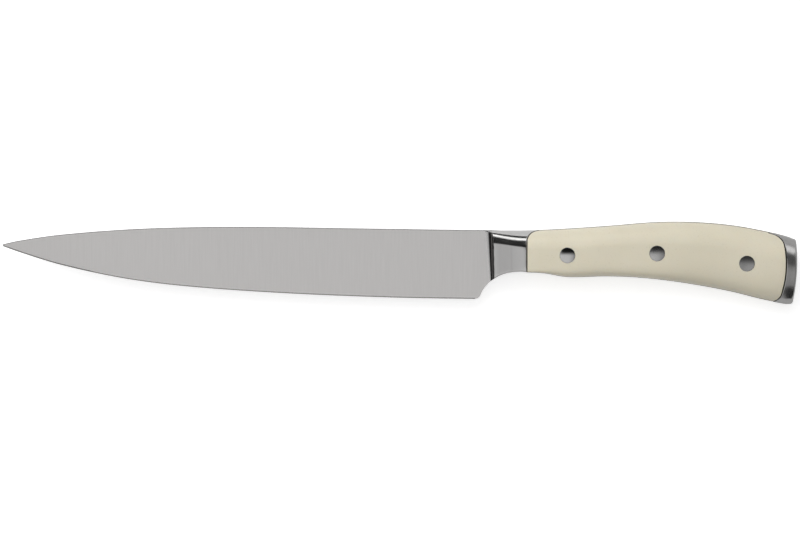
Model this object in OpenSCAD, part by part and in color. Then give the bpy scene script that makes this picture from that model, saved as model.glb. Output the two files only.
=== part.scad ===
// Forged carving knife with a full tang, two steel bolsters and riveted handle scales.
// The knife lies on its side: X runs from the point to the butt, Y from the edge up to
// the spine, Z through the thickness. Sizes are in millimetres.

/* [Blade] */
// Length of the blade, from the point to the front of the bolster
blade_len = 200; // [160:1:240]
// Depth of the heel below the top of the bolster
heel_depth = 28.4; // [25:0.1:34]
// Height of the spine's crown over the top of the bolster
spine_crown = 1.4; // [0:0.1:3]
// How far the point lies below the top of the bolster
point_drop = 6.2; // [4:0.1:12]
// Thickness of the spine beside the bolster
spine_t = 2.4; // [2:0.1:3.4]
// Thickness that the flanks lose over each 100 mm towards the point
taper_per_100 = 0.32; // [0:0.02:0.4]
// Thickness at the heel, where the edge bevel starts
heel_t = 0.5; // [0.4:0.05:0.9]
// Share of the flank's thickness that is left at the point
point_share = 0.45; // [0.3:0.05:1]
// Height of the edge bevel
bevel_h = 0.5; // [0.3:0.05:1.2]
// Width of the cutting edge
edge_t = 0.06; // [0.04:0.01:0.2]

/* [Front bolster] */
// Length of the bolster along its top
bolster_len = 16; // [13:0.5:24]
// Depth of the bolster where the scales start
neck_depth = 17.4; // [15:0.1:20]
// Width across the front of the bolster
bolster_front_w = 9.4; // [8:0.1:11]
// Width across the bolster where the scales start
bolster_w = 16.6; // [14:0.1:19]
// Radius of the hollow between the blade's flank and the bolster, at the spine
fillet_r = 3.5; // [2.8:0.1:4.2]
// Length of blade between the heel's corner and the front of the bolster
heel_gap = 5.4; // [4:0.1:8]

/* [Handle] */
// Length of the handle behind the front bolster, with the rear bolster
handle_len = 111.4; // [100:0.5:135]
// Height of the palm's hump over the top of the bolster
hump_h = 3.55; // [1:0.05:6]
// How far the top of the handle falls from the hump to the butt
butt_drop = 7.6; // [5:0.1:10]
// How far the belly swells below the neck, behind the front bolster
belly_swell = 2; // [0:0.1:3]
// Depth of the beak at the butt, below the top of the bolster
beak_depth = 30.4; // [26:0.1:36]
// Width across the handle at the palm
palm_w = 19; // [16:0.1:23]
// Width across the waist between the palm and the butt
waist_w = 18.2; // [15:0.1:22]
// Greatest width across the rear bolster
butt_w = 20.4; // [17:0.1:24]
// How much each side of the rear bolster draws in towards the butt
butt_taper = 0.9; // [0:0.1:1.5]
// Thickness of the tang
tang_t = 3; // [2.2:0.1:4]
// Radius of the scales' corners at the top of the front bolster
front_corner_r = 4.6; // [2:0.1:5.5]
// How far the tang's edge shows above the scales
tang_reveal = 0.3; // [0.1:0.05:0.6]

/* [Rear bolster] */
// Thickness of the rear bolster behind the scales
cap_t = 4.35; // [3:0.05:8]
// Radius of the scales' upper corner at the rear bolster
cap_top_r = 5; // [3:0.1:6]
// Radius of the scales' lower corner at the rear bolster
cap_low_r = 3; // [2:0.1:4]
// Radius of the rounded edge round the butt
butt_edge_r = 1.2; // [0.5:0.1:2]
// How far the tang's tenon enters the rear bolster
tenon_len = 2.6; // [1.5:0.1:2.8]
// Height of the tang's tenon
tenon_h = 12; // [8:0.5:16]
// Gap round the tenon, which the braze fills
tenon_gap = 0.05; // [0.03:0.01:0.15]

/* [Rivets] */
// Distance from one rivet to the next
rivet_pitch = 37; // [30:0.5:42]
// Distance from the front of the scales to the first rivet
rivet_first = 16.7; // [12:0.1:24]
// Diameter of a rivet's head
head_d = 6.4; // [5.5:0.1:8]
// Thickness of a rivet's head under the handle's surface
head_t = 2.4; // [1.5:0.1:3]
// Outside diameter of a rivet's tube
tube_d = 4.2; // [3.6:0.1:5]
// Diameter of the stud that is pressed into the tube
stud_d = 2.5; // [2:0.1:3]
// Clearance round the tube and the heads, measured on the radius
rivet_gap = 0.03; // [0.02:0.01:0.08]
// Clearance round the stud in the tube, measured on the radius
stud_gap = 0.02; // [0.01:0.01:0.05]

/* [Hidden] */

// Colours of the finished pieces
steel = [0.72, 0.71, 0.70];
polished = [0.62, 0.62, 0.63];
cream = [0.87, 0.84, 0.75];

// Places along the knife, counted from the front of the bolster
scale_x = bolster_len;
butt_x = bolster_len + handle_len;
// Where the thinned point starts, as a share of the blade
thin_from = 0.6;
// Half the width of the narrow land along the top and bottom of the handle
land = 0.25;
// Depths of the butt's rearmost point and of the rear seam's, and how far each bows over bow_reach
butt_peak = 11.6;
butt_bow = 0.8;
seam_peak = 13.9;
seam_bow = 2.06;
bow_reach = 13;
// The butt's bow builds up over this length
bow_len = 14;
// Where the hollow starts beside the spine, and how it leans and tightens with the depth
hollow_x = -1.35;
hollow_lean = 0.087;
hollow_taper = 0.024;
least_fillet_r = 0.5;
// The hollow's arc gives way to a straight ramp at this share of its radius
ramp_share = 0.985;
// Softness of the ridge between the ramp and the bolster's side
ridge_soft = 0.6;
// The rear bolster's sides draw in over this length
butt_taper_len = 7;
// Shares of the handle's depth at which the rivets sit, from the front one to the rear one
rivet_levels = [0.555, 0.55, 0.533];
// Height of the blunt point
point_h = 0.8;

// Smooth curve through points that are sorted along their first value
function span(p, x, i = 0) = (i >= len(p) - 2 || x < p[i + 1][0]) ? i : span(p, x, i + 1);
function rate(p, i) =
    let (a = max(i - 1, 0), b = min(i + 1, len(p) - 1))
    (p[b][1] - p[a][1]) / (p[b][0] - p[a][0]);
function curve(p, x) =
    let (i = span(p, x), w = p[i + 1][0] - p[i][0])
    let (t = min(max((x - p[i][0]) / w, 0), 1))
    p[i][1] * (2 * t ^ 3 - 3 * t ^ 2 + 1) + p[i + 1][1] * (3 * t ^ 2 - 2 * t ^ 3)
    + w * rate(p, i) * (t ^ 3 - 2 * t ^ 2 + t) + w * rate(p, i + 1) * (t ^ 3 - t ^ 2);
function ease(a, b, x) =
    let (t = min(max((x - a) / (b - a), 0), 1))
    t * t * (3 - 2 * t);
function soft_min(a, b, k) = min(a, b) - max(k - abs(a - b), 0) ^ 2 / (4 * k);

// Spine and top of the handle, from the point to the butt
top_line = [
    [-blade_len, -point_drop + point_h / 2],
    [-0.965 * blade_len, -0.69 * point_drop],
    [-0.88 * blade_len, -0.3 * point_drop],
    [-0.72 * blade_len, 0.4 * spine_crown],
    [-0.52 * blade_len, spine_crown],
    [-0.25 * blade_len, 0.5 * spine_crown],
    [0, 0],
    [scale_x, 0],
    [scale_x + 0.135 * handle_len, 0.18 * hump_h],
    [scale_x + 0.315 * handle_len, 0.56 * hump_h],
    [scale_x + 0.45 * handle_len, 0.91 * hump_h],
    [scale_x + 0.552 * handle_len, hump_h],
    [scale_x + 0.67 * handle_len, hump_h - 0.06 * butt_drop],
    [scale_x + 0.79 * handle_len, hump_h - 0.257 * butt_drop],
    [scale_x + 0.91 * handle_len, hump_h - 0.6 * butt_drop],
    [scale_x + 0.97 * handle_len, hump_h - 0.816 * butt_drop],
    [butt_x, hump_h - butt_drop]
];

// Cutting edge, from the point to the heel
edge_drop = heel_depth - point_drop;
edge_line = [
    [-blade_len, -point_drop - point_h / 2],
    [-0.965 * blade_len, -point_drop - 0.13 * edge_drop],
    [-0.88 * blade_len, -point_drop - 0.365 * edge_drop],
    [-0.75 * blade_len, -point_drop - 0.617 * edge_drop],
    [-0.62 * blade_len, -point_drop - 0.766 * edge_drop],
    [-0.42 * blade_len, -point_drop - 0.892 * edge_drop],
    [-0.2 * blade_len, -point_drop - 0.972 * edge_drop],
    [-heel_gap, -heel_depth]
];

// Rounded heel corner and finger notch, from the heel to the scales
notch_rise = heel_depth - neck_depth;
notch_line = [
    [-heel_gap, -heel_depth],
    [-0.76 * heel_gap, -heel_depth + 0.036 * notch_rise],
    [-0.61 * heel_gap, -heel_depth + 0.11 * notch_rise],
    [-0.39 * heel_gap, -heel_depth + 0.33 * notch_rise],
    [0, -heel_depth + 0.573 * notch_rise],
    [0.11 * scale_x, -heel_depth + 0.71 * notch_rise],
    [0.31 * scale_x, -heel_depth + 0.873 * notch_rise],
    [0.52 * scale_x, -heel_depth + 0.973 * notch_rise],
    [0.82 * scale_x, -heel_depth + 1.018 * notch_rise],
    [scale_x, -neck_depth]
];

// Bottom of the handle, from the scales' front to the butt
beak_drop = beak_depth - neck_depth;
belly_line = [
    [scale_x, -neck_depth],
    [scale_x + 0.065 * handle_len, -neck_depth - 0.2 * belly_swell],
    [scale_x + 0.137 * handle_len, -neck_depth - 0.9 * belly_swell],
    [scale_x + 0.185 * handle_len, -neck_depth - belly_swell],
    [scale_x + 0.29 * handle_len, -neck_depth - 0.825 * belly_swell],
    [scale_x + 0.405 * handle_len, -neck_depth - 0.16 * beak_drop],
    [scale_x + 0.52 * handle_len, -neck_depth - 0.26 * beak_drop],
    [scale_x + 0.64 * handle_len, -neck_depth - 0.415 * beak_drop],
    [scale_x + 0.76 * handle_len, -neck_depth - 0.615 * beak_drop],
    [scale_x + 0.875 * handle_len, -neck_depth - 0.86 * beak_drop],
    [scale_x + 0.965 * handle_len, -beak_depth],
    [butt_x, -beak_depth]
];

function top_y(x) = curve(top_line, x);
function low_y(x) =
    x < -heel_gap ? curve(edge_line, x) : x < scale_x ? curve(notch_line, x) : curve(belly_line, x);

// Half width of the bolster and handle: the bolster's face starts front_ease narrower
front_ease = 0.5;
width_line = [
    [0, bolster_front_w / 2 - front_ease],
    [0.17 * scale_x, bolster_front_w / 2],
    [scale_x, bolster_w / 2],
    [scale_x + 0.42 * handle_len, palm_w / 2],
    [scale_x + 0.8 * handle_len, waist_w / 2],
    [butt_x - butt_taper_len, butt_w / 2],
    [butt_x, butt_w / 2 - butt_taper]
];
// Depth of the widest level, as a share of the handle's depth
level_line = [
    [0, 0.3], [scale_x, 0.46], [scale_x + 0.4 * handle_len, 0.42], [butt_x, 0.4]
];
function level_y(x) = top_y(x) + (low_y(x) - top_y(x)) * curve(level_line, x);

// Bulge of the section: a little sharper than an ellipse on top. Below the widest level it is
// nearly square at the bolster, full at the palm and round at the butt
top_power = 1.85;
neck_power = 20;
waist_power = 7;
palm_power = 5.5;
rear_power = 3.4;
butt_power = 2.1;
low_power_line = [
    [0, neck_power],
    [scale_x, neck_power],
    [scale_x + 0.12 * handle_len, waist_power],
    [scale_x + 0.4 * handle_len, palm_power],
    [scale_x + 0.62 * handle_len, rear_power],
    [butt_x, butt_power]
];

// Half thickness of the bolster and handle at a height, without the blade
function grip_half(x, y) =
    let (m = level_y(x), up = y > m)
    let (reach = up ? top_y(x) - m : m - low_y(x), n = up ? top_power : curve(low_power_line, x))
    let (share = min(abs(y - m) / reach, 1))
    land + (curve(width_line, x) - land) * (1 - share ^ n) ^ (1 / n);

// Half thickness of the blade's flank: one plane, then thinned towards the point
flank_rise = (spine_t - heel_t) / 2 / (heel_depth - bevel_h);
function flank_half(x, y) =
    let (far = max(-x / blade_len - thin_from, 0) / (1 - thin_from))
    (spine_t / 2 + x * taper_per_100 / 200 + y * flank_rise)
    * (1 - (1 - point_share) * far ^ 2);
function blade_half(x, y) =
    let (over = (y - low_y(x)) / bevel_h, flank = flank_half(x, y))
    (x > -heel_gap || over >= 1) ? flank
    : edge_t / 2 + (flank_half(x, low_y(x) + bevel_h) - edge_t / 2) * over;

// Height of the hollow's surface over the flank, d behind its start with radius r
ramp_slope = ramp_share / sqrt(1 - ramp_share ^ 2);
function hollow_r(y) = max(fillet_r * (1 + hollow_taper * y), least_fillet_r);
function hollow_rise(d, r) =
    let (arc_d = min(max(d, 0), ramp_share * r))
    r - sqrt(r ^ 2 - arc_d ^ 2) + (max(d, 0) - arc_d) * ramp_slope;

// Half thickness of the whole outside at a place in the side view. The blade's thickness fades
// out inside the bolster over the length spine_fade_x
spine_fade_x = 8;
function half(x, y) =
    x <= -heel_gap ? blade_half(x, y)
    : let (flank = blade_half(x, y), d = x - hollow_x + hollow_lean * y)
      let (ramp = flank + hollow_rise(d, hollow_r(y)), spine = flank * (1 - ease(0, spine_fade_x, x)))
      x >= scale_x ? grip_half(x, y)
      : d <= 0 ? flank : max(spine, soft_min(ramp, grip_half(x, y), ridge_soft));

// Heights of a section's points: even on the blade, closer at top and bottom on the handle.
// One turns into the other between the heel and turn_end
rows = 22;
turn_end = 1.2;
function blade_row(x, j) =
    j == rows ? low_y(x)
    : top_y(x) + (low_y(x) + min(bevel_h, (top_y(x) - low_y(x)) / 3) - top_y(x)) * j / (rows - 1);
function grip_row(x, j) =
    let (s = sin(90 - 180 * j / rows), m = level_y(x))
    s > 0 ? m + s * (top_y(x) - m) : m + s * (m - low_y(x));
function row_y(x, j) =
    let (k = ease(-heel_gap, turn_end, x))
    (1 - k) * blade_row(x, j) + k * grip_row(x, j);

// The butt's face bows forward above and below its rearmost point
function bow(y) = ((y + butt_peak) / bow_reach) ^ 2;
function bowed_x(x, y) = x - butt_bow * bow(y) * ease(butt_x - bow_len, butt_x, x);

// One side of a section, and the closed loop round it
function side(x) = [for (j = [0:rows]) let (y = row_y(x, j)) [bowed_x(x, y), y, half(x, y)]];
function loop(x) =
    let (s = side(x))
    concat(s, [for (j = [rows:-1:0]) [s[j][0], s[j][1], -s[j][2]]]);

// Rounded edge of the butt: the last section drawn in while it moves back
edge_steps = 4;
function butt_loop(k) =
    let (a = 90 * k / edge_steps, inset = butt_edge_r * (1 - cos(a)))
    let (x = butt_x - butt_edge_r, move = butt_edge_r * sin(a))
    let (mid = (top_y(x) + low_y(x)) / 2, tall = (top_y(x) - low_y(x)) / 2)
    let (wide = curve(width_line, x))
    [for (p = loop(x))
        [p[0] + move, mid + (p[1] - mid) * (1 - inset / tall), p[2] * (1 - inset / wide)]];

// Sections along the blade, closer at the point, then along the neck and the handle
blade_steps = 26;
point_crowding = 1.25;
neck_step = 0.3;
neck_end = 5;
blade_x = [
    for (i = [0:blade_steps - 1])
        -blade_len + (blade_len - heel_gap) * (i / blade_steps) ^ point_crowding
];
neck_x = [for (x = [-heel_gap:neck_step:neck_end]) x];
grip_steps = 39;
grip_x = [for (i = [1:grip_steps]) neck_end + (butt_x - butt_edge_r - neck_end) * i / grip_steps];
butt_loops = [for (k = [1:edge_steps]) butt_loop(k)];
blade_loops = [for (x = blade_x) loop(x)];
neck_loops = [for (x = neck_x) loop(x)];
grip_loops = [for (x = grip_x) loop(x)];

// Closed skin over a row of loops
module skin(loops) {
    n = 2 * (rows + 1);
    last = (len(loops) - 1) * n;
    sides = [
        for (i = [0:len(loops) - 2], k = [0:n - 1])
            let (a = i * n + k, b = i * n + (k + 1) % n)
            each [[a, b + n, b], [a, a + n, b + n]]
    ];
    ends = [
        for (j = [0:rows - 1])
            let (a = j, b = j + 1, c = n - 2 - j, d = n - 1 - j)
            each [[a, b, c], [a, c, d], [last + a, last + c, last + b], [last + a, last + d, last + c]]
    ];
    polyhedron(points = [for (l = loops, p = l) p], faces = concat(sides, ends));
}

// The handle's outside, from inside the front bolster
module handle_body() {
    skin(concat([loop(scale_x / 2)], grip_loops, butt_loops));
}

// Front seam of the scales, with a round corner under the back of the handle
arc_n = 12;
front_c = [scale_x + front_corner_r, top_y(scale_x + front_corner_r) - tang_reveal - front_corner_r];
front_arc = [
    for (i = [0:arc_n])
        let (a = 180 - 90 * i / arc_n)
        front_c + front_corner_r * [cos(a), sin(a)]
];

// Rear seam: a bowed line with a round corner above and below
cap_top_y = top_y(butt_x - cap_t - cap_top_r) - tang_reveal - cap_top_r;
cap_low_y = low_y(butt_x - cap_t - cap_low_r) + tang_reveal + cap_low_r;
function seam_x(y) = butt_x - cap_t - seam_bow * ((y + seam_peak) / bow_reach) ^ 2;
function seam_point(y, r, a) = [seam_x(y + r * sin(a)) - abs(r) * (1 - cos(a)), y + r * sin(a)];
rear_line = concat(
    [for (i = [0:arc_n]) seam_point(cap_top_y, cap_top_r, 90 * (1 - i / arc_n))],
    [for (i = [1:arc_n - 1]) seam_point(cap_top_y + (cap_low_y - cap_top_y) * i / arc_n, 0, 0)],
    [for (i = [0:arc_n]) seam_point(cap_low_y, -cap_low_r, 90 * i / arc_n)]
);

// Both seams run on past the handle by this much, above, below and behind it
overrun = 16;
high = hump_h + overrun;
deep = -beak_depth - overrun;
behind = butt_x + overrun;
front_line = concat([[scale_x, deep]], front_arc, [[front_c[0], high]]);
seam_line = concat(
    [[rear_line[0][0] - tang_reveal, high]],
    rear_line,
    [[rear_line[len(rear_line) - 1][0] - tang_reveal, deep]]
);

// Side view of the room that the scales fill
module scale_outline() {
    polygon(concat(front_line, seam_line));
}
// Side view of everything behind the front bolster
module grip_outline() {
    polygon(concat(front_line, [[behind, high], [behind, deep]]));
}
// Side view of everything behind the scales
module cap_outline() {
    polygon(concat(seam_line, [[behind, deep], [behind, high]]));
}

// Rivets, from the front one to the rear one: places in the side view and the seats of their heads
rivets = [0:len(rivet_levels) - 1];
function rivet_x(i) = scale_x + rivet_first + i * rivet_pitch;
function rivet_y(i) = top_y(rivet_x(i)) + (low_y(rivet_x(i)) - top_y(rivet_x(i))) * rivet_levels[i];
function seat_z(i) = grip_half(rivet_x(i), rivet_y(i)) - head_t;
// Longer than the knife is thick, for cutting right through it
thick = 2 * butt_w;
// How far joined solids run into each other
joint = 0.5;
// Sides of the round bores and of the rivets' heads
bore_sides = 48;
head_sides = 64;
// Gaps between the tube's end and the other head, and between the stud's end and its own
tube_short = 0.6;
stud_short = 0.6;
module at_rivet(i) {
    translate([rivet_x(i), rivet_y(i), 0]) children();
}

// Bores for one rivet: a through hole and a seat for each head
module rivet_bores(i) {
    at_rivet(i) {
        cylinder(h = thick, r = tube_d / 2 + rivet_gap, center = true, $fn = bore_sides);
        for (z = [seat_z(i), -seat_z(i) - thick]) translate([0, 0, z])
            cylinder(h = thick, r = head_d / 2 + rivet_gap, $fn = head_sides);
    }
}

// Tenon on the tang's end, and the same shape as a pocket in the rear bolster
tenon_y = (cap_top_y + cap_low_y) / 2;
tenon_root = 4;
module tenon(gap) {
    y0 = tenon_y - tenon_h / 2 - gap;
    x0 = butt_x - cap_t - tenon_root;
    x1 = seam_x(tenon_y - tenon_h / 2) + tenon_len + gap;
    translate([x0, y0, -tang_t / 2 - gap]) cube([x1 - x0, tenon_h + 2 * gap, tang_t + 2 * gap]);
}

// The knife lies on the table: its middle over the origin and its lowest side at Z = 0
outside = [for (l = concat(blade_loops, neck_loops, grip_loops, butt_loops), p = l) p];
low_corner = [for (k = [0:2]) min([for (p = outside) p[k]])];
high_corner = [for (k = [0:2]) max([for (p = outside) p[k]])];
module laid() {
    translate([
        -(low_corner[0] + high_corner[0]) / 2,
        -(low_corner[1] + high_corner[1]) / 2,
        -low_corner[2]
    ]) children();
}

// One forging: blade, front bolster and full tang, bored for the rivets
module blade_and_tang() {
    color(steel) laid() difference() {
        union() {
            difference() {
                skin(concat(blade_loops, neck_loops, grip_loops));
                translate([0, 0, -thick / 2]) linear_extrude(thick) cap_outline();
            }
            tenon(0);
        }
        translate([0, 0, tang_t / 2]) linear_extrude(thick) grip_outline();
        translate([0, 0, -tang_t / 2 - thick]) linear_extrude(thick) grip_outline();
        for (i = rivets) at_rivet(i)
            cylinder(h = thick, r = tube_d / 2 + rivet_gap, center = true, $fn = bore_sides);
    }
}

// Steel cap behind the scales, brazed onto the tang's tenon
module rear_bolster() {
    color(polished) laid() difference() {
        intersection() {
            handle_body();
            translate([0, 0, -thick / 2]) linear_extrude(thick) cap_outline();
        }
        tenon(tenon_gap);
    }
}

// One handle scale; way is 1 for the left side and -1 for the right
module scale_piece(way) {
    color(cream) laid() difference() {
        intersection() {
            handle_body();
            translate([0, 0, way > 0 ? tang_t / 2 : -tang_t / 2 - thick])
                linear_extrude(thick) scale_outline();
        }
        for (i = rivets) rivet_bores(i);
    }
}
module scale_left() { scale_piece(1); }
module scale_right() { scale_piece(-1); }

// Left half of a rivet: a head with a tube, ground flush with the scale
module rivet_socket(i) {
    seat = seat_z(i);
    color(polished) laid() intersection() {
        handle_body();
        at_rivet(i) difference() {
            union() {
                translate([0, 0, seat]) cylinder(h = thick, r = head_d / 2, $fn = head_sides);
                translate([0, 0, -seat + tube_short])
                    cylinder(h = 2 * seat - tube_short + joint, r = tube_d / 2, $fn = bore_sides);
            }
            translate([0, 0, -thick + seat])
                cylinder(h = thick, r = stud_d / 2 + stud_gap, $fn = bore_sides);
        }
    }
}

// Right half of a rivet: a head with a solid stud, pressed into the tube
module rivet_stud(i) {
    seat = seat_z(i);
    color(polished) laid() intersection() {
        handle_body();
        at_rivet(i) {
            translate([0, 0, -seat - thick]) cylinder(h = thick, r = head_d / 2, $fn = head_sides);
            translate([0, 0, -seat - joint])
                cylinder(h = 2 * seat - stud_short + joint, r = stud_d / 2, $fn = bore_sides);
        }
    }
}
module front_rivet_socket() { rivet_socket(0); }
module front_rivet_stud() { rivet_stud(0); }
module middle_rivet_socket() { rivet_socket(1); }
module middle_rivet_stud() { rivet_stud(1); }
module rear_rivet_socket() { rivet_socket(2); }
module rear_rivet_stud() { rivet_stud(2); }

blade_and_tang();
rear_bolster();
scale_left();
scale_right();
front_rivet_socket();
front_rivet_stud();
middle_rivet_socket();
middle_rivet_stud();
rear_rivet_socket();
rear_rivet_stud();
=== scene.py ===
import math
import bmesh
import bpy
import numpy as np
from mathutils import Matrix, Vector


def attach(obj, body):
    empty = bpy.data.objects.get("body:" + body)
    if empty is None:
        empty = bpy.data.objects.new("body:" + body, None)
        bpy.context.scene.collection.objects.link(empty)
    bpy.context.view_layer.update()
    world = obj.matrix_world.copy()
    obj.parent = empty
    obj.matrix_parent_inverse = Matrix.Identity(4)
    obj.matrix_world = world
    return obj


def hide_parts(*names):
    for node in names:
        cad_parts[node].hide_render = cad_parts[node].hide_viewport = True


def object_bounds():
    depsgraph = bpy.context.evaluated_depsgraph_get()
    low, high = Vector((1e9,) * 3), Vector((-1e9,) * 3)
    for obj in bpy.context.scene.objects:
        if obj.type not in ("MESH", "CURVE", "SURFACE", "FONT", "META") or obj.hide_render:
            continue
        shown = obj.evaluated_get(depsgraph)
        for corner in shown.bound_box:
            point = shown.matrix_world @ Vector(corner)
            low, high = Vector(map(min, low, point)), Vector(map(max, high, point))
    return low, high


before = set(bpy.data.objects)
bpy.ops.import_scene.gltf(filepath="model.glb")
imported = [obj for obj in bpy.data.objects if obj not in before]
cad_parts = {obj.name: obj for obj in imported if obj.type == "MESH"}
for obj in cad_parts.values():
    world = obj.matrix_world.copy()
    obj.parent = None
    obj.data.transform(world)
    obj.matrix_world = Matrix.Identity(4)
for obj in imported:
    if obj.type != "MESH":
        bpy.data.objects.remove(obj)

cad_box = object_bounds()

# Blade with its front bolster.
# The real piece is one forging of stainless knife steel: a flat-ground blade with a satin finish
# and a honed edge, which swells through a ground hollow into a brushed bolster.
blade_len = 200.0
heel_depth = 28.4
spine_crown = 1.4
point_drop = 6.2
point_h = 0.8
spine_t = 2.4
spine_round = 0.22
taper_per_100 = 0.32
heel_t = 0.5
point_share = 0.45
thin_from = 0.6
bevel_h = 0.5
edge_t = 0.06
heel_gap = 5.4
bolster_len = 16.0
neck_depth = 17.4
bolster_front_w = 9.4
bolster_w = 16.6
front_ease = 0.5
fillet_r = 3.5
hollow_x = -1.35
hollow_lean = 0.087
hollow_taper = 0.024
least_fillet_r = 0.5
ramp_share = 0.985
ridge_soft = 0.6
land = 0.25
front_corner_r = 4.6
tang_reveal = 0.3
edge_break = 0.4
spine_fade_x = 8.0
round_fade_x = 6.0
turn_end = 1.2
handle_len = 111.4
hump_h = 3.55
butt_drop = 7.6
belly_swell = 2.0
beak_depth = 30.4
palm_w = 19.0
waist_w = 18.2
butt_w = 20.4
butt_taper = 0.9
butt_taper_len = 7.0
butt_peak = 11.6
butt_bow = 0.8
bow_reach = 13.0
bow_len = 14.0
butt_x = bolster_len + handle_len

edge_drop = heel_depth - point_drop
notch_rise = heel_depth - neck_depth
beak_drop = beak_depth - neck_depth
top_line = [
    (-blade_len, -point_drop + point_h / 2),
    (-0.965 * blade_len, -0.69 * point_drop),
    (-0.88 * blade_len, -0.3 * point_drop),
    (-0.72 * blade_len, 0.4 * spine_crown),
    (-0.52 * blade_len, spine_crown),
    (-0.25 * blade_len, 0.5 * spine_crown),
    (0, 0),
    (bolster_len, 0),
    (bolster_len + 0.135 * handle_len, 0.18 * hump_h),
    (bolster_len + 0.315 * handle_len, 0.56 * hump_h),
    (bolster_len + 0.45 * handle_len, 0.91 * hump_h),
    (bolster_len + 0.552 * handle_len, hump_h),
    (bolster_len + 0.67 * handle_len, hump_h - 0.06 * butt_drop),
    (bolster_len + 0.79 * handle_len, hump_h - 0.257 * butt_drop),
    (bolster_len + 0.91 * handle_len, hump_h - 0.6 * butt_drop),
    (bolster_len + 0.97 * handle_len, hump_h - 0.816 * butt_drop),
    (butt_x, hump_h - butt_drop),
]
edge_line = [
    (-blade_len, -point_drop - point_h / 2),
    (-0.965 * blade_len, -point_drop - 0.13 * edge_drop),
    (-0.88 * blade_len, -point_drop - 0.365 * edge_drop),
    (-0.75 * blade_len, -point_drop - 0.617 * edge_drop),
    (-0.62 * blade_len, -point_drop - 0.766 * edge_drop),
    (-0.42 * blade_len, -point_drop - 0.892 * edge_drop),
    (-0.2 * blade_len, -point_drop - 0.972 * edge_drop),
    (-heel_gap, -heel_depth),
]
notch_line = [
    (-heel_gap, -heel_depth),
    (-0.76 * heel_gap, -heel_depth + 0.036 * notch_rise),
    (-0.61 * heel_gap, -heel_depth + 0.11 * notch_rise),
    (-0.39 * heel_gap, -heel_depth + 0.33 * notch_rise),
    (0, -heel_depth + 0.573 * notch_rise),
    (0.11 * bolster_len, -heel_depth + 0.71 * notch_rise),
    (0.31 * bolster_len, -heel_depth + 0.873 * notch_rise),
    (0.52 * bolster_len, -heel_depth + 0.973 * notch_rise),
    (0.82 * bolster_len, -heel_depth + 1.018 * notch_rise),
    (bolster_len, -neck_depth),
]
belly_line = [
    (bolster_len, -neck_depth),
    (bolster_len + 0.065 * handle_len, -neck_depth - 0.2 * belly_swell),
    (bolster_len + 0.137 * handle_len, -neck_depth - 0.9 * belly_swell),
    (bolster_len + 0.185 * handle_len, -neck_depth - belly_swell),
    (bolster_len + 0.29 * handle_len, -neck_depth - 0.825 * belly_swell),
    (bolster_len + 0.405 * handle_len, -neck_depth - 0.16 * beak_drop),
    (bolster_len + 0.52 * handle_len, -neck_depth - 0.26 * beak_drop),
    (bolster_len + 0.64 * handle_len, -neck_depth - 0.415 * beak_drop),
    (bolster_len + 0.76 * handle_len, -neck_depth - 0.615 * beak_drop),
    (bolster_len + 0.875 * handle_len, -neck_depth - 0.86 * beak_drop),
    (bolster_len + 0.965 * handle_len, -beak_depth),
    (butt_x, -beak_depth),
]
width_line = [
    (0, bolster_front_w / 2 - front_ease),
    (0.17 * bolster_len, bolster_front_w / 2),
    (bolster_len, bolster_w / 2),
    (bolster_len + 0.42 * handle_len, palm_w / 2),
    (bolster_len + 0.8 * handle_len, waist_w / 2),
    (butt_x - butt_taper_len, butt_w / 2),
    (butt_x, butt_w / 2 - butt_taper),
]
level_line = [
    (0, 0.3), (bolster_len, 0.46), (bolster_len + 0.4 * handle_len, 0.42), (butt_x, 0.4)
]
top_power = 1.85
neck_power = 20.0
waist_power = 7.0
palm_power = 5.5
rear_power = 3.4
butt_power = 2.1
low_power_line = [
    (0, neck_power),
    (bolster_len, neck_power),
    (bolster_len + 0.12 * handle_len, waist_power),
    (bolster_len + 0.4 * handle_len, palm_power),
    (bolster_len + 0.62 * handle_len, rear_power),
    (butt_x, butt_power),
]


def curve(points, x):
    """Cubic pieces through the points; each point's slope is that of the chord between its neighbours."""
    p = np.array(points, float)
    x = np.asarray(x, float)
    last = len(p) - 1
    before = np.maximum(np.arange(last + 1) - 1, 0)
    after = np.minimum(np.arange(last + 1) + 1, last)
    slope = (p[after, 1] - p[before, 1]) / (p[after, 0] - p[before, 0])
    i = np.clip(np.searchsorted(p[:, 0], x, side="right") - 1, 0, last - 1)
    w = p[i + 1, 0] - p[i, 0]
    t = np.clip((x - p[i, 0]) / w, 0, 1)
    ends = p[i, 1] * (2 * t**3 - 3 * t**2 + 1) + p[i + 1, 1] * (3 * t**2 - 2 * t**3)
    return ends + w * slope[i] * (t**3 - 2 * t**2 + t) + w * slope[i + 1] * (t**3 - t**2)


def ease(a, b, x):
    """Goes from 0 at a to 1 at b as 3t squared less 2t cubed."""
    t = np.clip((x - a) / (b - a), 0, 1)
    return t * t * (3 - 2 * t)


def top_y(x):
    """Height of the spine and of the handle's back at x."""
    return curve(top_line, x)


def low_y(x):
    """Height of the edge, the finger notch or the handle's belly at x."""
    handle = np.where(x < bolster_len, curve(notch_line, x), curve(belly_line, x))
    return np.where(x < -heel_gap, curve(edge_line, x), handle)


def level_y(x):
    """Height at which the bolster and handle are widest."""
    return top_y(x) + (low_y(x) - top_y(x)) * curve(level_line, x)


def grip_half(x, y):
    """Half thickness of the handle: a rounded-square curve above and below its widest level."""
    m = level_y(x)
    up = y > m
    reach = np.maximum(np.where(up, top_y(x) - m, m - low_y(x)), 0.01)
    n = np.where(up, top_power, curve(low_power_line, x))
    share = np.clip(np.abs(y - m) / reach, 0, 1)
    return land + (curve(width_line, x) - land) * (1 - share**n) ** (1 / n)


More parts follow.
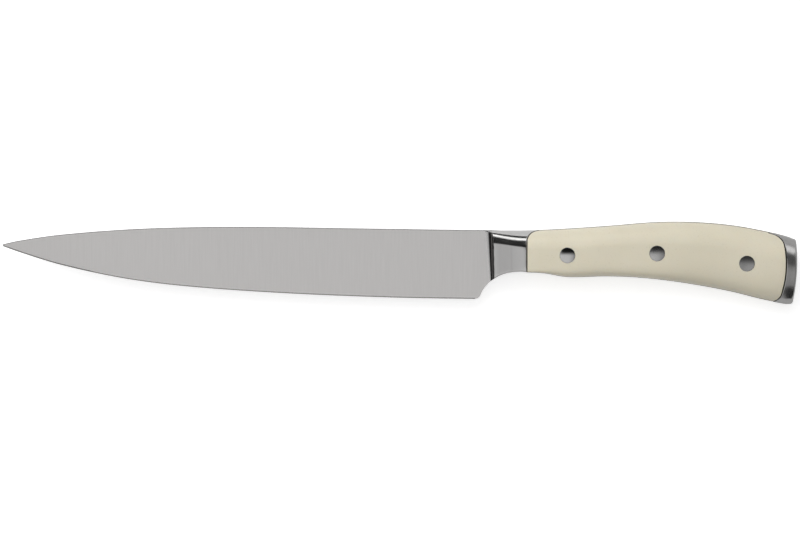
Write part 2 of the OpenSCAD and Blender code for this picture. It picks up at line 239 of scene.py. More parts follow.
def flank_half(x, y):
    """Half thickness of the blade's flank: one tilted plane, thinned by a square law at the point."""
    rise = (spine_t - heel_t) / 2 / (heel_depth - bevel_h)
    far = np.maximum(-x / blade_len - thin_from, 0) / (1 - thin_from)
    return (spine_t / 2 + x * taper_per_100 / 200 + y * rise) * (1 - (1 - point_share) * far**2)


def outside_half(x, y):
    """Half thickness of the forging: flank, bevel and rounded spine, then a quarter-circle hollow up to
    the handle's section, with the ridge between the two softened by a square law."""
    over = (y - low_y(x)) / bevel_h
    flank = flank_half(x, y)
    bevel = edge_t / 2 + (flank_half(x, low_y(x) + bevel_h) - edge_t / 2) * over
    blade = np.where((x <= -heel_gap) & (over < 1), bevel, flank)
    under = np.clip(spine_round - (top_y(x) - y), 0, spine_round)
    blade = blade - (spine_round - np.sqrt(spine_round**2 - under**2)) * (1 - ease(-round_fade_x, 0, x))
    d = x - hollow_x + hollow_lean * y
    r = np.maximum(fillet_r * (1 + hollow_taper * y), least_fillet_r)
    arc_d = np.clip(d, 0, ramp_share * r)
    slope = ramp_share / math.sqrt(1 - ramp_share**2)
    rise = r - np.sqrt(r**2 - arc_d**2) + np.maximum(d - arc_d, 0) * slope * (d > 0)
    ramp = blade + rise
    grip = grip_half(x, y)
    near = np.maximum(ridge_soft - np.abs(ramp - grip), 0)
    ridge = np.minimum(ramp, grip) - near**2 / (4 * ridge_soft)
    neck = np.maximum(blade * (1 - ease(0, spine_fade_x, x)), ridge)
    return np.where((x <= -heel_gap) | (d <= 0), blade, np.where(x >= bolster_len, grip, neck))


def row_shares(count, low, high):
    """Shares of the section's height from high to low, spaced as the sine of an even angle."""
    return np.sin(np.linspace(np.arcsin(high), np.arcsin(low), count))


def grip_y(x, s):
    """Height at share s of the way from the widest level to the top (s over 0) or the bottom."""
    m = level_y(x)
    return m + np.where(s > 0, s * (top_y(x) - m), s * (m - low_y(x)))


def blade_y(x, count):
    """Rows of a blade section: four in the spine's rounding, even rows, then bevel and edge. The rounding
    takes up to a sixth of the height, and the bevel up to a third."""
    top, low = top_y(x), low_y(x)
    first = np.array([0, 0.25, 0.6, 1.0]) * np.minimum(spine_round, (top - low) / 6)
    bevel = np.minimum(bevel_h, (top - low) / 3)
    run = np.linspace(0, 1, count - first.shape[1])[None, 1:]
    body = (top - first[:, 3:]) * (1 - run) + (low + bevel) * run
    return np.concatenate([top - first, body, low], axis=1)


def bowed_x(x, y):
    """The butt's face bows forward by a square law above and below its rearmost point."""
    bow = ((y + butt_peak) / bow_reach) ** 2
    return x - butt_bow * bow * ease(butt_x - bow_len, butt_x, x)


# The frame's box places this script's sizes: the point is its low X and the beak its low Y
outline_x = np.linspace(-blade_len, butt_x, 4001)
shift = np.array([
    cad_box[0][0] * 1000 + blade_len,
    cad_box[0][1] * 1000 - low_y(outline_x).min(),
    (cad_box[0][2] + cad_box[1][2]) * 500,
])


def mesh_object(name, points, faces):
    """A mesh object from points in millimetres, with its doubles merged and its faces turned outwards."""
    mesh = bpy.data.meshes.new(name)
    mesh.from_pydata(((points + shift) / 1000).tolist(), [], faces)
    bm = bmesh.new()
    bm.from_mesh(mesh)
    bmesh.ops.remove_doubles(bm, verts=bm.verts, dist=1e-7)
    bmesh.ops.dissolve_degenerate(bm, edges=bm.edges, dist=1e-8)
    bmesh.ops.recalc_face_normals(bm, faces=bm.faces)
    bm.to_mesh(mesh)
    bm.free()
    piece = bpy.data.objects.new(name, mesh)
    bpy.context.scene.collection.objects.link(piece)
    return piece


def smooth(piece, angle):
    """Smooth shading, with edges sharper than the angle in degrees kept sharp."""
    piece.data.shade_smooth()
    piece.data.set_sharp_from_angle(angle=math.radians(angle))


def shell(name, outer, inner, angle=35):
    """A closed solid between two grids of the same shape: each section is a ring of the outer rows and the
    inner ones, and a strip closes either end."""
    ring = np.concatenate([outer, inner[:, ::-1]], axis=1)
    n, m = ring.shape[:2]
    k = outer.shape[1]
    index = np.arange(n * m).reshape(n, m)
    a, b = index[:-1], np.roll(index, -1, axis=1)[:-1]
    c, d = np.roll(index, -1, axis=1)[1:], index[1:]
    quads = np.stack([a, b, c, d], axis=-1).reshape(-1, 4)
    j = np.arange(k - 1)
    strip = np.stack([j, m - 1 - j, m - 2 - j, j + 1], axis=-1)
    faces = np.concatenate([quads, strip, strip[:, ::-1] + (n - 1) * m])
    piece = mesh_object(name, ring.reshape(-1, 3), faces.tolist())
    smooth(piece, angle)
    return piece


def mirrored(side):
    """The mirror of a grid in the knife's middle plane."""
    return side * np.array([1, 1, -1])


def front_seam_x(y):
    """The scales' front seam: upright, with a round corner under the back of the handle."""
    corner_x = bolster_len + front_corner_r
    corner_y = top_y(corner_x) - tang_reveal - front_corner_r
    up = np.clip(y - corner_y, 0, front_corner_r)
    return corner_x - np.sqrt(front_corner_r**2 - up**2)


def settle(seam, s, x):
    """Places of the rows of shares s on a seam: eight times, x goes back on the seam at its row's height."""
    x = np.full(len(s), float(x))
    for _ in range(8):
        y = grip_y(x, s)
        x = seam(y) + x - bowed_x(x, y)
    return x


def eased_edge(x, seam, way):
    """How much lower the surface lies beside a seam: a quarter circle as wide as the edge break."""
    near = np.clip(1 - way * (x - seam) / edge_break, 0, 1)
    return edge_break * (1 - np.sqrt(1 - near**2))


blade_rows = 70
blade_columns = 240
point_crowding = 1.25
neck_step = 0.1
tail_columns = 36
seam_columns = 9
seam_share = 0.94
blade_xs = -blade_len + (blade_len - heel_gap) * np.linspace(0, 1, blade_columns)[:-1] ** point_crowding
neck_xs = np.arange(-heel_gap, spine_fade_x + neck_step / 10, neck_step)
body_xs = np.concatenate([blade_xs, neck_xs])[:, None]
grip_s = row_shares(blade_rows, -1, 1)
seam_xs = settle(front_seam_x, grip_s, bolster_len)
tail_steps = np.concatenate([
    np.linspace(0, seam_share, tail_columns)[1:], np.linspace(seam_share, 1, seam_columns)[1:]
])[:, None]
tail = neck_xs[-1] + (seam_xs - neck_xs[-1])[None, :] * tail_steps
grid_x = np.concatenate([np.repeat(body_xs, blade_rows, axis=1), tail])
turn = ease(-heel_gap, turn_end, body_xs)
body_y = (1 - turn) * blade_y(body_xs, blade_rows) + turn * grip_y(body_xs, grip_s[None, :])
grid_y = np.concatenate([body_y, grip_y(tail, grip_s[None, :])])
forged_z = outside_half(grid_x, grid_y) - eased_edge(grid_x, seam_xs, -1)
forged = np.stack([grid_x, grid_y, forged_z], axis=-1)
blade = shell("blade_and_bolster", forged, mirrored(forged), angle=28)


def nodes_of(owner):
    """The node tree of a material or a world, its nodes, and a function that links two sockets."""
    owner.use_nodes = True
    tree = owner.node_tree
    return tree, tree.nodes, tree.links.new


def grain(tree, stretch, detail=6.0):
    """Noise on Object coordinates, drawn out by the Mapping node's scale into fine scratches."""
    place = tree.nodes.new("ShaderNodeTexCoord")
    mapping = tree.nodes.new("ShaderNodeMapping")
    noise = tree.nodes.new("ShaderNodeTexNoise")
    mapping.inputs["Scale"].default_value = stretch
    noise.inputs["Scale"].default_value = 1.0
    noise.inputs["Detail"].default_value = detail
    tree.links.new(place.outputs["Object"], mapping.inputs["Vector"])
    tree.links.new(mapping.outputs["Vector"], noise.inputs["Vector"])
    return noise.outputs["Fac"]


def ramp_node(tree, value, source, target):
    """Maps a value straight from one range onto another, and holds it at the ends."""
    node = tree.nodes.new("ShaderNodeMapRange")
    node.inputs["From Min"].default_value = source[0]
    node.inputs["From Max"].default_value = source[1]
    node.inputs["To Min"].default_value = target[0]
    node.inputs["To Max"].default_value = target[1]
    tree.links.new(value, node.inputs["Value"])
    return node.outputs["Result"]


def bump_shader(tree, shader, height, strength, depth):
    """Turns a shader's normal by a pattern's slope."""
    bump = tree.nodes.new("ShaderNodeBump")
    bump.inputs["Strength"].default_value = strength
    bump.inputs["Distance"].default_value = depth
    tree.links.new(height, bump.inputs["Height"])
    tree.links.new(bump.outputs["Normal"], shader.inputs["Normal"])


def tint_shader(tree, shader, pattern, dark, light):
    """Blends a shader's colour from dark to light by a pattern."""
    tint = tree.nodes.new("ShaderNodeMix")
    tint.data_type = "RGBA"
    tint.inputs[6].default_value = (*dark, 1)
    tint.inputs[7].default_value = (*light, 1)
    tree.links.new(pattern, tint.inputs[0])
    tree.links.new(tint.outputs[2], shader.inputs["Base Color"])


def steel_material(name, base, rough, depth, stretch, brushed, streak=0.02, mirror=1.0):
    """Metal brushed along Y: roughness and bump follow fine scratches, and reflections blur across them.
    A satin finish mirrors in part and scatters the rest as a matt surface does."""
    material = bpy.data.materials.new(name)
    tree, nodes, link = nodes_of(material)
    shader = nodes["Principled BSDF"]
    shader.inputs["Metallic"].default_value = mirror
    shader.inputs["Anisotropic"].default_value = brushed
    across = nodes.new("ShaderNodeCombineXYZ")
    across.inputs["X"].default_value = 1.0
    link(across.outputs["Vector"], shader.inputs["Tangent"])
    lines = grain(tree, stretch)
    streaks = ramp_node(tree, grain(tree, [s / 5 for s in stretch], 3.0), noise_middle, (0, 1))
    tint_shader(tree, shader, streaks, [(1 - streak) * c for c in base], [(1 + streak) * c for c in base])
    link(ramp_node(tree, lines, noise_middle, rough), shader.inputs["Roughness"])
    bump_shader(tree, shader, lines, depth, scratch_depth)
    return material


noise_middle = (0.3, 0.7)
scratch_depth = 0.00002
fine_lines = (9000, 90, 9000)
coarse_lines = (4000, 90, 4000)
polish_share = 0.06
steep = -0.4
hone_share = 0.8
satin_steel = steel_material(
    "satin_blade_steel", base=(0.618, 0.605, 0.597), rough=(0.29, 0.33),
    depth=0.1, stretch=fine_lines, brushed=0.5, mirror=0.6,
)
brushed_steel = steel_material(
    "brushed_bolster_steel", base=(0.46, 0.455, 0.45), rough=(0.16, 0.2),
    depth=0.3, stretch=coarse_lines, brushed=0.85, streak=0.05,
)
# The honed edge's steel, which also serves as painted shade on the hollow's steep faces
honed_and_fillet_shade_steel = steel_material(
    "honed_edge_and_fillet_shade_steel", base=(0.27, 0.265, 0.26), rough=(0.12, 0.16),
    depth=0.1, stretch=fine_lines, brushed=0.0,
)
for steel in (satin_steel, brushed_steel, honed_and_fillet_shade_steel):
    blade.data.materials.append(steel)
centres = np.empty(len(blade.data.polygons) * 3)
facing = np.empty(len(blade.data.polygons) * 3)
blade.data.polygons.foreach_get("center", centres)
blade.data.polygons.foreach_get("normal", facing)
centre_x, centre_y = (centres.reshape(-1, 3)[:, :2] * 1000 - shift[:2]).T
on_bolster = centre_x > hollow_x - hollow_lean * centre_y + polish_share * fillet_r
# Painted shade: the hollow's faces turned steeply towards the point take the dark honed steel
fillet_shade_faces = on_bolster & (facing[::3] < steep)
on_bevel = (centre_x < -heel_gap) & (centre_y < low_y(centre_x) + bevel_h)
on_spine = centre_y > top_y(centre_x) - spine_round
on_point = on_spine & (centre_x < -hone_share * blade_len)
finish = np.where(on_bevel | fillet_shade_faces | on_point, 2, on_bolster | on_spine)
blade.data.polygons.foreach_set("material_index", finish.astype(np.int32))
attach(blade, "root")
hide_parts("blade_and_tang")


# Tang.
# The real tang is the forging's flat tail, as deep as the handle: its edge shows as a thin
# steel line between the scales, ground and polished with them.
tang_t = 3.0
cap_t = 4.35
seam_bow = 2.06
seam_peak = 13.9
cap_top_r = 5.0
cap_low_r = 3.0
tang_start = 12.0
tenon_len = 1.5
tenon_from = 5.0
tenon_to = 2.0
tenon_ease = 0.08
root_ease = 0.02
tang_columns = 300
tang_rows = 9
flat_facing = 0.9
tang_end = butt_x - cap_t + tenon_len


def grip_share(x, z, power):
    """The share of the reach at which the section is z wide, from the rounded-square curve turned about."""
    wide = curve(width_line, x) - land
    q = np.clip((np.abs(z) - land) / wide, 0, 1)
    return (1 - q**power) ** (1 / power)


tang_x = np.linspace(tang_start, tang_end, tang_columns)[:, None]
tang_z = np.linspace(tang_t / 2, -tang_t / 2, tang_rows)[None, :]
within = 1 - tenon_ease * ease(tang_end - tenon_from, tang_end - tenon_to, tang_x)
top_root = 1 - root_ease * np.clip((bolster_len + front_corner_r - tang_x) / edge_break, 0, 1)
low_root = 1 - root_ease * np.clip((bolster_len - tang_x) / edge_break, 0, 1)
tang_top = grip_y(tang_x, within * top_root * grip_share(tang_x, tang_z, top_power))
tang_low = grip_y(tang_x, -within * low_root * grip_share(tang_x, tang_z, curve(low_power_line, tang_x)))
tang_wide = np.broadcast_to(tang_x, tang_top.shape)
tang_deep = np.broadcast_to(tang_z, tang_top.shape)
tang = shell(
    "tang",
    np.stack([tang_wide, tang_top, tang_deep], axis=-1),
    np.stack([tang_wide, tang_low, tang_deep], axis=-1),
)
# Painted shade: the tang's flat faces, covered by the scales, take a near-black steel, so that the hairline
# gaps at the seams read dark
seam_shade_steel = steel_material(
    "tang_steel_painted_seam_shade", base=(0.05, 0.047, 0.045), rough=(0.6, 0.7),
    depth=0.3, stretch=(900, 900, 900), brushed=0.0,
)
tang.data.materials.append(brushed_steel)
tang.data.materials.append(seam_shade_steel)
facing = np.empty(len(tang.data.polygons) * 3)
tang.data.polygons.foreach_get("normal", facing)
seam_shade_faces = np.abs(facing[2::3]) > flat_facing
tang.data.polygons.foreach_set("material_index", seam_shade_faces.astype(np.int32))
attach(tang, "root")
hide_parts("blade_and_tang")


# Handle scales.
# The real scales are moulded acetal plastic in cream, laid on both faces of the tang, riveted
# through it and ground flush with it. Each is bored through and has a seat for the rivet's head.
rivet_first = 16.7
rivet_pitch = 37.0
rivet_levels = np.array([0.555, 0.55, 0.533])
head_d = 6.4
head_t = 2.4
tube_d = 4.2
seat_gap = 0.05
scale_ease = 0.12
hairline = 0.28
rear_hairline = 0.42
edge_power = 30
bore_sides = 96
bore_from = 0.5
past_face = 20.0
scale_rows = 90
scale_columns = 260
rivet_xs = bolster_len + rivet_first + rivet_pitch * np.arange(3)
rivet_ys = top_y(rivet_xs) + (low_y(rivet_xs) - top_y(rivet_xs)) * rivet_levels
seat_zs = grip_half(rivet_xs, rivet_ys) - head_t


def rear_seam_x(y):
    """The scales' rear seam: bowed like the butt, with a round corner above and below."""
    top_c = top_y(butt_x - cap_t - cap_top_r) - tang_reveal - cap_top_r
    low_c = low_y(butt_x - cap_t - cap_low_r) + tang_reveal + cap_low_r
    up = np.clip(y - top_c, 0, cap_top_r)
    down = np.clip(low_c - y, 0, cap_low_r)
    corner = cap_top_r - np.sqrt(cap_top_r**2 - up**2) + cap_low_r - np.sqrt(cap_low_r**2 - down**2)
    return butt_x - cap_t - seam_bow * ((y + seam_peak) / bow_reach) ** 2 - corner


def rivet_cutters(way):
    """Cutters for one scale: a through bore and a seat for each head, as rings swept along Z."""
    turns = np.linspace(0, 2 * np.pi, bore_sides, endpoint=False)
    bore, head = tube_d / 2 + seat_gap, head_d / 2 + seat_gap
    cutters = []
    for x, y, seat in zip(rivet_xs, rivet_ys, seat_zs):
        steps = [(bore, bore_from), (bore, seat), (head, seat), (head, past_face)]
        points = np.concatenate([
            np.stack([x + r * np.cos(turns), y + r * np.sin(turns), np.full(bore_sides, way * z)], axis=-1)
            for r, z in steps
        ])
        index = np.arange(len(steps) * bore_sides).reshape(len(steps), bore_sides)
        around = np.roll(index, -1, axis=1)
        sides = np.stack([index[:-1], around[:-1], around[1:], index[1:]], axis=-1)
        faces = sides.reshape(-1, 4).tolist() + [index[0].tolist(), index[-1].tolist()]
        cutters.append(mesh_object("rivet_cutter", points, faces))
    return cutters


def cut(piece, cutters):
    """Takes the cutters out of the piece for good, and removes them."""
    for cutter in cutters:
        change = piece.modifiers.new("bore", "BOOLEAN")
        change.operation = "DIFFERENCE"
        change.solver = "EXACT"
        change.object = cutter
    done = piece.evaluated_get(bpy.context.evaluated_depsgraph_get())
    piece.data = bpy.data.meshes.new_from_object(done)
    piece.modifiers.clear()
    for cutter in cutters:
        bpy.data.objects.remove(cutter)


def scale_side():
    """Outer surface of a scale: the handle's sections from the front seam to the rear one, each cut off at
    the tang's face, and eased in beside it by the thirtieth power of the share."""
    top = 1 - 1e-9
    s = row_shares(scale_rows, -top, top)
    x0 = settle(front_seam_x, s, bolster_len) + hairline
    x1 = settle(rear_seam_x, s, butt_x - cap_t) - rear_hairline
    x = x0 + (x1 - x0) * np.linspace(0, 1, scale_columns)[:, None]
    power = np.where(s > 0, top_power, curve(low_power_line, x))
    limit = grip_share(x, tang_t / 2, power)
    y = grip_y(x, s * limit)
    z = np.maximum(grip_half(x, y), tang_t / 2)
    y = y - scale_ease * s * np.abs(s) ** edge_power
    return np.stack([bowed_x(x, y), y, z], axis=-1)


def plastic_material():
    """Cream plastic: a faint cloud in its colour, fine moulding bumps and a soft gloss."""
    material = bpy.data.materials.new("cream_plastic")
    tree, nodes, link = nodes_of(material)
    shader = nodes["Principled BSDF"]
    shader.inputs["IOR"].default_value = 1.48
    shader.inputs["Subsurface Weight"].default_value = 0.15
    shader.inputs["Subsurface Radius"].default_value = (1.0, 0.7, 0.4)
    shader.inputs["Subsurface Scale"].default_value = 0.0012
    cloud = ramp_node(tree, grain(tree, (45, 45, 45), 4.0), noise_middle, (0, 1))
    tint_shader(tree, shader, cloud, (0.685, 0.635, 0.5), (0.72, 0.67, 0.53))
    fine = grain(tree, (1500, 1500, 1500), 4.0)
    link(ramp_node(tree, fine, noise_middle, (0.26, 0.36)), shader.inputs["Roughness"])
    bump_shader(tree, shader, fine, 0.12, 0.00003)
    return material


cream_plastic = plastic_material()
side = scale_side()
flat = side * np.array([1, 1, 0]) + np.array([0, 0, tang_t / 2])
for name, way in (("scale_left", 1), ("scale_right", -1)):
    turned = np.array([1, 1, way])
    scale = shell(name + "_moulded", side * turned, flat * turned)
    cut(scale, rivet_cutters(way))
    smooth(scale, angle=35)
    scale.data.materials.clear()
    scale.data.materials.append(cream_plastic)
    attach(scale, "root")
    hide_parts(name)


# Rear bolster.
# The real one is a steel cap, brazed onto the tang's tenon behind the scales and then ground
# with them to one surface, with its edge round the butt softened and polished.
butt_edge_r = 1.2
cap_rows = 90
break_columns = 12
cap_columns = 36
break_share = 0.1
rim_columns = 14
cap_s = row_shares(cap_rows, -1, 1)
cap_front = settle(rear_seam_x, cap_s, butt_x - cap_t)
cap_back = butt_x - butt_edge_r
cap_steps = np.concatenate([
    np.linspace(0, break_share, break_columns)[:-1], np.linspace(break_share, 1, cap_columns)
])[:, None]
cap_x = cap_front + (cap_back - cap_front) * cap_steps
cap_y = grip_y(cap_x, cap_s)
cap_z = grip_half(cap_x, cap_y) - eased_edge(cap_x, cap_front, 1)
cap_wall = np.stack([bowed_x(cap_x, cap_y), cap_y, np.maximum(cap_z, land)], axis=-1)
round_a = np.linspace(0, np.pi / 2, rim_columns)[1:, None]
inset = butt_edge_r * (1 - np.cos(round_a))
middle = (top_y(cap_back) + low_y(cap_back)) / 2
tall = (top_y(cap_back) - low_y(cap_back)) / 2
wide = curve(width_line, cap_back)
rim = np.stack([
    cap_wall[-1, :, 0] + butt_edge_r * np.sin(round_a),
    middle + (cap_wall[-1, :, 1] - middle) * (1 - inset / tall),
    cap_wall[-1, :, 2] * (1 - inset / wide),
], axis=-1)
cap_side = np.concatenate([cap_wall, rim])
rear_bolster = shell("rear_bolster_ground", cap_side, mirrored(cap_side))
# Painted shade: the front bolster's brushed steel with a lower grey, so that the cap reads darker
rear_shade_steel = steel_material(
    "rear_bolster_steel_painted_shade", base=(0.42, 0.415, 0.41), rough=(0.16, 0.2),
    depth=0.3, stretch=coarse_lines, brushed=0.85, streak=0.05,
)
rear_bolster.data.materials.append(rear_shade_steel)
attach(rear_bolster, "root")
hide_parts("rear_bolster")


# Rivets.
# Real cutler's rivets come in halves: a head with a tube and a head with a stud, pressed into
# each other through the tang. Their heads are ground and polished with the scales.
stud_d = 2.5
stud_gap = 0.02
tube_short = 0.6
stud_short = 0.6
head_round = 0.12
head_sides = 128
face_rings = 24
rim_rings = 10
rim_share = 0.9
centre_share = 0.02
polish_grain = (3000, 3000, 3000)
# Each rivet's place, the crown of its heads, their lean along and across, their grey and roughness; the grey
# falls from front to rear as painted shade
heads = (
    ("front", 0.13, (0.0, 0.015), 0.43, (0.05, 0.08)),
    ("middle", 0.09, (0.005, 0.005), 0.38, (0.1, 0.14)),
    ("rear", 0.05, (-0.07, -0.025), 0.31, (0.17, 0.2)),
)


def rivet_half(name, x, y, seat, crown, lean, way, shank, hollow, reach, steel):
    """A head whose face is the handle's surface with a low crown and a slight lean from grinding by hand,
    falling off as a quarter circle at its rim, and a shank turned as rings about its axis."""
    turns = np.linspace(0, 2 * np.pi, head_sides, endpoint=False)
    r_face = np.concatenate([
        np.linspace(centre_share, rim_share, face_rings), np.linspace(rim_share, 1, rim_rings)[1:]
    ]) * head_d / 2
    edge = np.clip(r_face - (head_d / 2 - head_round), 0, head_round)
    drop = head_round - np.sqrt(head_round**2 - edge**2)
    px = x + r_face[:, None] * np.cos(turns)
    py = y + r_face[:, None] * np.sin(turns)
    dome = crown * (1 - (r_face / (head_d / 2))**2) - drop
    ground = grip_half(px, py) + lean[0] * (px - x) + lean[1] * (py - y)
    face = np.stack([px, py, ground + dome[:, None]], axis=-1)
    profile = [(head_d / 2, seat), (shank / 2, seat), (shank / 2, -reach)]
    profile += [(hollow / 2, -reach), (hollow / 2, seat)] if hollow else []
    r_body, z_body = np.array(profile).T
    body = np.stack([
        x + r_body[:, None] * np.cos(turns),
        y + r_body[:, None] * np.sin(turns),
        np.broadcast_to(z_body[:, None], (len(profile), len(turns))),
    ], axis=-1)
    rings = np.concatenate([face, body]) * np.array([1, 1, way])
    n, m = rings.shape[:2]
    index = np.arange(n * m).reshape(n, m)
    around = np.roll(index, -1, axis=1)
    quads = np.stack([index[:-1], around[:-1], around[1:], index[1:]], axis=-1).reshape(-1, 4)
    faces = quads.tolist() + [index[0].tolist(), index[-1].tolist()]
    piece = mesh_object(name, rings.reshape(-1, 3), faces)
    smooth(piece, angle=30)
    piece.data.materials.append(steel)
    return piece


tube_bore = stud_d + 2 * stud_gap
for (place, crown, lean, grey, rough), x, y, seat in zip(heads, rivet_xs, rivet_ys, seat_zs):
    # Each rivet's own copy of the polished steel, a darker grey towards the rear as painted shade
    steel = steel_material(
        place + "_rivet_steel", base=(grey, grey * 0.99, grey * 0.98), rough=rough,
        depth=0.15, stretch=polish_grain, brushed=0.0,
    )
    for kind, way, shank, bore, reach in (
        ("socket", 1, tube_d, tube_bore, seat - tube_short), ("stud", -1, stud_d, 0, seat - stud_short)
    ):
        rivet = rivet_half(
            f"{place}_rivet_{kind}_polished", x, y, seat, crown, lean, way, shank, bore, reach, steel
        )
        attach(rivet, "root")
        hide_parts(f"{place}_rivet_{kind}")


# Table, light and camera.
# The knife lies on a plain white table under soft studio light, and the camera looks straight
# down on it from afar.
picture = (800, 533)
mm_per_px = 0.41237
eye_x, eye_y, eye_high = 0.05, -1.5, 8000.0
blade_level = 10.5
sensor = 36.0
table_half = 4.0
table_white = 0.8
camera_glow = 0.6
mirrored_glow = (0.15, 0.42)
glow_from_y = (-0.1, 0.1)
glow_past_x = (0.1, 0.16)


def times(tree, first, second):
    """The product of two values."""
    node = tree.nodes.new("ShaderNodeMath")
    node.operation = "MULTIPLY"
    tree.links.new(first, node.inputs[0])
    tree.links.new(second, node.inputs[1])
    return node.outputs[0]


def floor_material():
    """White table: a matt white that glows a little for the camera's own rays, so that it reads as white,
    and in mirrors more beyond the knife's back than before its edge, and not at all past its butt."""
    material = bpy.data.materials.new("white_table")
    tree, nodes, link = nodes_of(material)
    shader = nodes["Principled BSDF"]
    shader.inputs["Base Color"].default_value = (table_white, table_white, table_white, 1)
    shader.inputs["Roughness"].default_value = 0.9
    shader.inputs["Specular IOR Level"].default_value = 0.1
    shader.inputs["Emission Color"].default_value = (1, 1, 1, 1)
    place = nodes.new("ShaderNodeTexCoord")
    split = nodes.new("ShaderNodeSeparateXYZ")
    link(place.outputs["Object"], split.inputs[0])
    sides = ramp_node(tree, split.outputs["Y"], glow_from_y, mirrored_glow)
    length = ramp_node(tree, split.outputs["X"], glow_past_x, (1.0, 0.0))
    path = nodes.new("ShaderNodeLightPath")
    extra = times(tree, times(tree, sides, length), path.outputs["Is Glossy Ray"])
    glow = nodes.new("ShaderNodeMath")
    glow.operation = "MULTIPLY_ADD"
    glow.inputs[1].default_value = camera_glow
    link(path.outputs["Is Camera Ray"], glow.inputs[0])
    link(extra, glow.inputs[2])
    link(glow.outputs[0], shader.inputs["Emission Strength"])
    return material


floor_mesh = bpy.data.meshes.new("table")
corners = [(-1, -1, 0), (1, -1, 0), (1, 1, 0), (-1, 1, 0)]
floor_mesh.from_pydata((np.array(corners) * table_half).tolist(), [], [(0, 1, 2, 3)])
table = bpy.data.objects.new("table", floor_mesh)
bpy.context.scene.collection.objects.link(table)
floor_mesh.materials.append(floor_material())


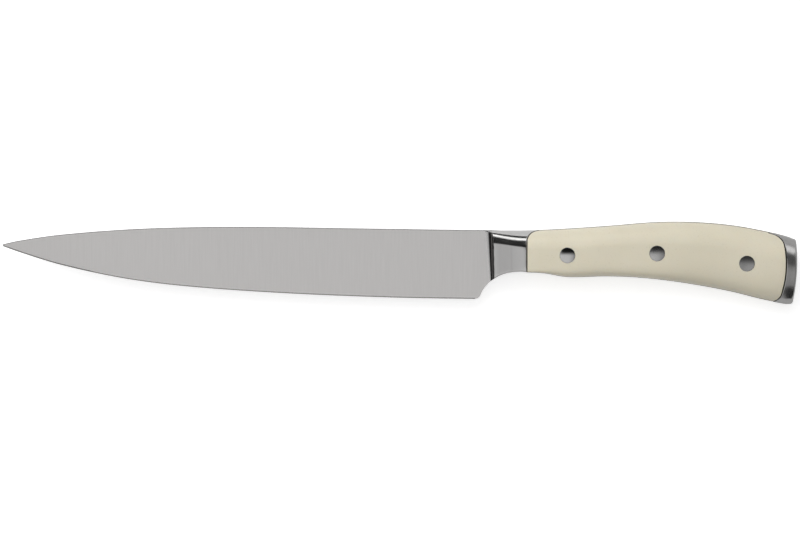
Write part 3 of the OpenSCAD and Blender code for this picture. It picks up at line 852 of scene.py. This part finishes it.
def studio_world():
    """The room: an even grey for diffuse light, and for reflections a pale room with soft-edged patches laid
    over it one after another, such as a soft box overhead, dark walls and lit strips. A patch is given by
    four values on each axis of the direction, between which it eases in and out, and by its light."""
    everywhere = (-3.0, -2.0, 2.0, 3.0)
    patches = (
        ("side_wall", (-3.0, -2.0, -0.9, -0.6), (-0.4, -0.25, 0.05, 0.2), everywhere, 0.02),
        ("far_wall", (-0.8, -0.65, -0.08, 0.0), (0.22, 0.34, 2.0, 3.0), everywhere, 0.02),
        ("window", (-0.95, -0.85, -0.62, -0.52), (0.3, 0.45, 2.0, 3.0), (-0.1, 0.05, 0.55, 0.66), 0.42),
        ("near_wall", (-0.6, -0.45, 0.0, 0.14), (-3.0, -2.0, -0.75, -0.6), everywhere, 0.6),
        ("near_corner", (0.0, 0.1, 0.8, 0.95), (-3.0, -2.0, -0.72, -0.55), everywhere, 0.02),
        ("soft_box", (-0.9, -0.6, -0.08, 0.18), (-0.85, -0.6, 0.22, 0.34), everywhere, 0.84),
        ("box_core", (-0.55, -0.3, -0.08, 0.18), (-0.85, -0.6, 0.22, 0.34), everywhere, 1.02),
        ("right_shade", (0.22, 0.34, 0.6, 0.8), (-0.1, 0.0, 2.0, 3.0), everywhere, 0.14),
        ("right_card", (0.24, 0.34, 0.6, 0.8), (-0.62, -0.35, -0.2, -0.05), everywhere, 0.54),
        ("lens_shade", (-0.24, -0.16, 0.12, 0.26), (-0.04, 0.04, 0.5, 0.6), everywhere, 0.015),
        ("far_card", (-0.06, 0.02, 0.25, 0.35), (0.5, 0.62, 2.0, 3.0), everywhere, 0.45),
        ("far_gap", (-0.6, -0.45, 0.02, 0.1), (0.5, 0.8, 2.0, 3.0), (-3.0, -2.0, 0.14, 0.2), 0.02),
        ("strip", (-0.5, -0.42, -0.04, 0.08), (0.2, 0.45, 2.0, 3.0), (0.22, 0.27, 0.44, 0.5), 2.3),
        ("strip_end", (-0.06, 0.06, 0.22, 0.34), (0.2, 0.45, 2.0, 3.0), (0.1, 0.3, 0.45, 0.6), 0.8),
        ("right_strip", (0.22, 0.34, 0.5, 0.8), (0.2, 0.45, 2.0, 3.0), (-0.2, 0.28, 0.45, 0.66), 1.45),
    )
    room_light, diffuse_light = 0.35, 0.38
    world = bpy.data.worlds.new("studio")
    bpy.context.scene.world = world
    tree, nodes, link = nodes_of(world)
    place = nodes.new("ShaderNodeTexCoord")
    split = nodes.new("ShaderNodeSeparateXYZ")
    link(place.outputs["Generated"], split.inputs[0])

    def between(value, ends):
        """1 between the middle two of four values, 0 outside the outer two, eased from one to the other."""
        steps = []
        for low, high in ((ends[0], ends[1]), (ends[3], ends[2])):
            step = nodes.new("ShaderNodeMapRange")
            step.interpolation_type = "SMOOTHSTEP"
            step.inputs["From Min"].default_value = low
            step.inputs["From Max"].default_value = high
            link(value, step.inputs["Value"])
            steps.append(step.outputs["Result"])
        return times(tree, *steps)

    def choose(mask, under, over, label):
        """One value where the mask is 0 and another where it is 1, each a number or a node's output."""
        mix = nodes.new("ShaderNodeMix")
        mix.label = label
        link(mask, mix.inputs[0])
        for socket, value in ((mix.inputs[2], under), (mix.inputs[3], over)):
            if isinstance(value, float):
                socket.default_value = value
            else:
                link(value, socket)
        return mix.outputs[0]

    light = room_light
    for name, x_ends, y_ends, z_ends, value in patches:
        masks = [between(axis, ends) for axis, ends in zip(split.outputs, (x_ends, y_ends, z_ends))]
        light = choose(times(tree, times(tree, masks[0], masks[1]), masks[2]), light, value, name)
    path = nodes.new("ShaderNodeLightPath")
    seen = choose(path.outputs["Is Glossy Ray"], diffuse_light, light, "mirrored")
    back = nodes["Background"]
    back.inputs["Color"].default_value = (1, 1, 1, 1)
    link(choose(path.outputs["Is Camera Ray"], seen, 1.0, "seen"), back.inputs["Strength"])


def soft_lamp(name, place, size, power):
    """A square area lamp aimed at the frame's origin, left out of reflections."""
    lamp = bpy.data.lights.new(name, "AREA")
    lamp.shape = "SQUARE"
    lamp.size = size
    lamp.energy = power
    holder = bpy.data.objects.new(name, lamp)
    bpy.context.scene.collection.objects.link(holder)
    holder.location = place
    away = -np.array(place)
    holder.rotation_euler = (
        math.atan2(math.hypot(away[0], away[1]), -away[2]), 0, math.atan2(away[0], -away[1]) + math.pi
    )
    holder.visible_glossy = False


studio_world()
soft_lamp("key", (-0.3, 0.85, 0.9), 1.0, 7.4)
soft_lamp("fill", (-0.1, 0.4, 1.4), 1.2, 6.1)

camera = bpy.data.cameras.new("camera")
camera.sensor_width = sensor
camera.lens = sensor * (eye_high - blade_level) / (picture[0] * mm_per_px)
holder = bpy.data.objects.new("camera", camera)
bpy.context.scene.collection.objects.link(holder)
holder.location = (eye_x / 1000, eye_y / 1000, eye_high / 1000)
bpy.context.scene.camera = holder
bpy.context.scene.view_settings.view_transform = "Standard"
